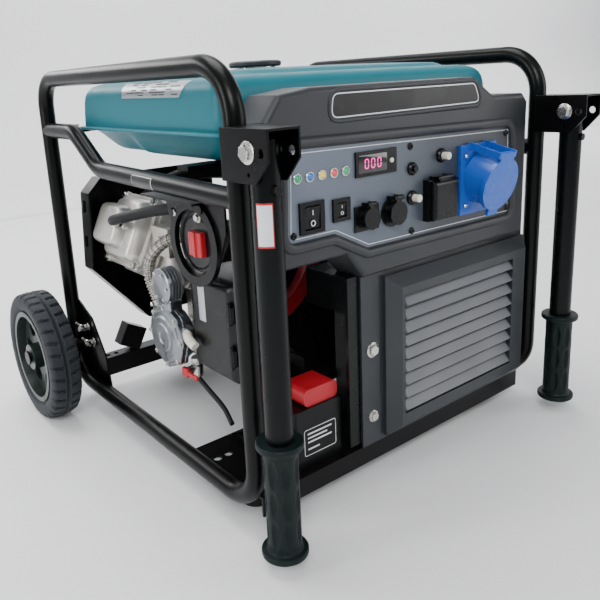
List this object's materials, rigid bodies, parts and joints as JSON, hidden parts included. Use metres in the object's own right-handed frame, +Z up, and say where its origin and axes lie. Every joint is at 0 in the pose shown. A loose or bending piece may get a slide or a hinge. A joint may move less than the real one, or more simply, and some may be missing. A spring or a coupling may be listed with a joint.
{
  "type": "portable generator",
  "caption": "Open-frame portable generator: tubular side hoops, pressed tank, control panel with sockets, slatted inverter cover, engine, wheels and fold-down handles.",
  "frame": {"origin": "on the ground, in the middle of the machine's plan", "axes": "+X to the right of the control panel, +Y from the panel to the rear, +Z up"},
  "size_m": [0.765, 0.722, 0.5805],
  "materials": {
    "black_powder_coat": "semi-gloss black powder coat",
    "tank_enamel": "gloss teal enamel",
    "charcoal_plastic": "fine grained charcoal plastic",
    "black_plastic": "black plastic",
    "panel_print": "satin blue-grey fascia plate",
    "socket_blue": "satin blue plastic",
    "lamp_lens": "clear coloured lenses",
    "button_ivory": "ivory plastic",
    "red_plastic": "red plastic",
    "cast_aluminium": "die-cast aluminium",
    "dark_steel": "heat resistant grey paint",
    "rotor_steel": "machined steel",
    "zinc_steel": "bright zinc plating",
    "hose_rubber": "black rubber hose",
    "hose_braid": "grey ribbed hose",
    "valve_brass": "brass and rubber",
    "tyre_rubber": "solid black rubber",
    "rim_plastic": "dark green-black plastic",
    "grip_rubber": "dimpled soft rubber"
  },
  "bodies": {
    "chassis": {"accessory_sockets": "black_plastic", "air_filter_box": "black_plastic", "air_guide": "red_plastic", "alternator_housing": "cast_aluminium", "badge_plate": "black_plastic", "battery": "black_plastic", "breaker_bodies": "black_plastic", "breather_hose": "hose_rubber", "carburettor": "cast_aluminium", "cee_socket": "socket_blue", "cooling_shroud": "black_powder_coat", "crankcase": "cast_aluminium", "cylinder_head": "cast_aluminium", "fasteners": "zinc_steel", "filter_bracket": "black_powder_coat", "front_tray": "black_powder_coat", "fuel_tank": "tank_enamel", "fuel_valve": "valve_brass", "gas_hose": "hose_braid", "gas_regulator": "cast_aluminium", "handle_brackets": "black_powder_coat", "indicator_lamps": "lamp_lens", "inverter_cover": "charcoal_plastic", "inverter_housing": "black_plastic", "left_side_frame": "black_powder_coat", "muffler": "dark_steel", "output_meter": "black_plastic", "panel_housing": "charcoal_plastic", "panel_plate": "panel_print", "rear_crossmember": "black_powder_coat", "right_side_frame": "black_powder_coat", "rubber_mounts": "hose_rubber", "schuko_socket": "black_plastic", "switch_housings": "black_plastic", "tank_supports": "black_powder_coat", "terminal_cover": "red_plastic", "valve_cover": "cast_aluminium"},
    "left_wheel": {"left_rim": "rim_plastic", "left_tyre": "tyre_rubber"},
    "right_wheel": {"right_rim": "rim_plastic", "right_tyre": "tyre_rubber"},
    "left_folding_handle": {"left_handle": "black_powder_coat", "left_grip": "grip_rubber"},
    "right_folding_handle": {"right_handle": "black_powder_coat", "right_grip": "grip_rubber"},
    "left_snap": {"left_snap_button": "zinc_steel"},
    "right_snap": {"right_snap_button": "zinc_steel"},
    "filler_cap": {"fuel_cap": "charcoal_plastic"},
    "meter_key": {"meter_button": "button_ivory"},
    "start_key": {"start_rocker": "black_plastic"},
    "economy_key": {"economy_rocker": "black_plastic"},
    "reset_key": {"reset_button": "button_ivory"},
    "breaker_key_lower": {"breaker_button_lower": "button_ivory"},
    "breaker_key_upper": {"breaker_button_upper": "button_ivory"},
    "charging_socket_cap": {"usb_cap": "black_plastic"},
    "dc_socket_cap": {"dc_cap": "black_plastic"},
    "mains_socket_lid": {"schuko_lid": "black_plastic"},
    "blue_socket_lid": {"cee_lid": "socket_blue"},
    "alternator_rotor": {"rotor": "rotor_steel"},
    "selector_knob": {"fuel_selector": "red_plastic"}
  },
  "joints": [
    {"name": "left_wheel_spin", "type": "hinge", "parent": "chassis", "child": "left_wheel", "pos_m": [-0.353, 0.251, 0.11], "axis": [1, 0, 0], "continuous": true},
    {"name": "right_wheel_spin", "type": "hinge", "parent": "chassis", "child": "right_wheel", "pos_m": [0.353, 0.251, 0.11], "axis": [1, 0, 0], "continuous": true},
    {"name": "left_handle_fold", "type": "hinge", "parent": "chassis", "child": "left_folding_handle", "pos_m": [-0.288, -0.3286, 0.482], "axis": [-1, 0, 0], "range_deg": [0, 90]},
    {"name": "right_handle_fold", "type": "hinge", "parent": "chassis", "child": "right_folding_handle", "pos_m": [0.288, -0.3286, 0.482], "axis": [-1, 0, 0], "range_deg": [0, 90]},
    {"name": "left_snap_press", "type": "slide", "parent": "left_folding_handle", "child": "left_snap", "axis": [0, 1, 0], "range_m": [0, 0.004], "stiffness_N_per_m": 600, "springref_m": -0.003},
    {"name": "right_snap_press", "type": "slide", "parent": "right_folding_handle", "child": "right_snap", "axis": [0, 1, 0], "range_m": [0, 0.004], "stiffness_N_per_m": 600, "springref_m": -0.003},
    {"name": "filler_cap_twist", "type": "hinge", "parent": "chassis", "child": "filler_cap", "pos_m": [-0.072, -0.03, 0.57], "axis": [0, 0, 1], "range_deg": [0, 90]},
    {"name": "meter_button_press", "type": "slide", "parent": "chassis", "child": "meter_key", "axis": [0, 1, 0], "range_m": [0, 0.0012], "stiffness_N_per_m": 300, "springref_m": -0.002},
    {"name": "start_rocker_tip", "type": "hinge", "parent": "chassis", "child": "start_key", "pos_m": [-0.188, -0.2765, 0.392], "axis": [-1, 0, 0], "range_deg": [0, 10]},
    {"name": "economy_rocker_tip", "type": "hinge", "parent": "chassis", "child": "economy_key", "pos_m": [-0.141, -0.2765, 0.394], "axis": [-1, 0, 0], "range_deg": [0, 10]},
    {"name": "reset_press", "type": "slide", "parent": "chassis", "child": "reset_key", "axis": [0, 1, 0], "range_m": [0, 0.003], "stiffness_N_per_m": 300, "springref_m": -0.003},
    {"name": "breaker_lower_press", "type": "slide", "parent": "chassis", "child": "breaker_key_lower", "axis": [0, 1, 0], "range_m": [0, 0.005]},
    {"name": "breaker_upper_press", "type": "slide", "parent": "chassis", "child": "breaker_key_upper", "axis": [0, 1, 0], "range_m": [0, 0.005]},
    {"name": "charging_cap_lift", "type": "hinge", "parent": "chassis", "child": "charging_socket_cap", "pos_m": [-0.098, -0.29, 0.395], "axis": [-1, 0, 0], "range_deg": [0, 110]},
    {"name": "dc_cap_lift", "type": "hinge", "parent": "chassis", "child": "dc_socket_cap", "pos_m": [-0.052, -0.292, 0.397], "axis": [-1, 0, 0], "range_deg": [0, 110]},
    {"name": "mains_lid_lift", "type": "hinge", "parent": "chassis", "child": "mains_socket_lid", "pos_m": [0.038, -0.294, 0.4115], "axis": [-1, 0, 0], "range_deg": [0, 110], "stiffness_Nm_per_rad": 0.02, "springref_deg": -45.84},
    {"name": "blue_lid_lift", "type": "hinge", "parent": "chassis", "child": "blue_socket_lid", "pos_m": [0.124, -0.32927, 0.43453], "axis": [-1, 0, 0], "range_deg": [0, 110], "stiffness_Nm_per_rad": 0.06, "springref_deg": -45.84},
    {"name": "rotor_spin", "type": "hinge", "parent": "chassis", "child": "alternator_rotor", "pos_m": [0.015, 0, 0.213], "axis": [0, 1, 0], "continuous": true},
    {"name": "fuel_selector_turn", "type": "hinge", "parent": "chassis", "child": "selector_knob", "pos_m": [-0.25, -0.121, 0.348], "axis": [-1, 0, 0], "range_deg": [0, 90]}
  ]
}
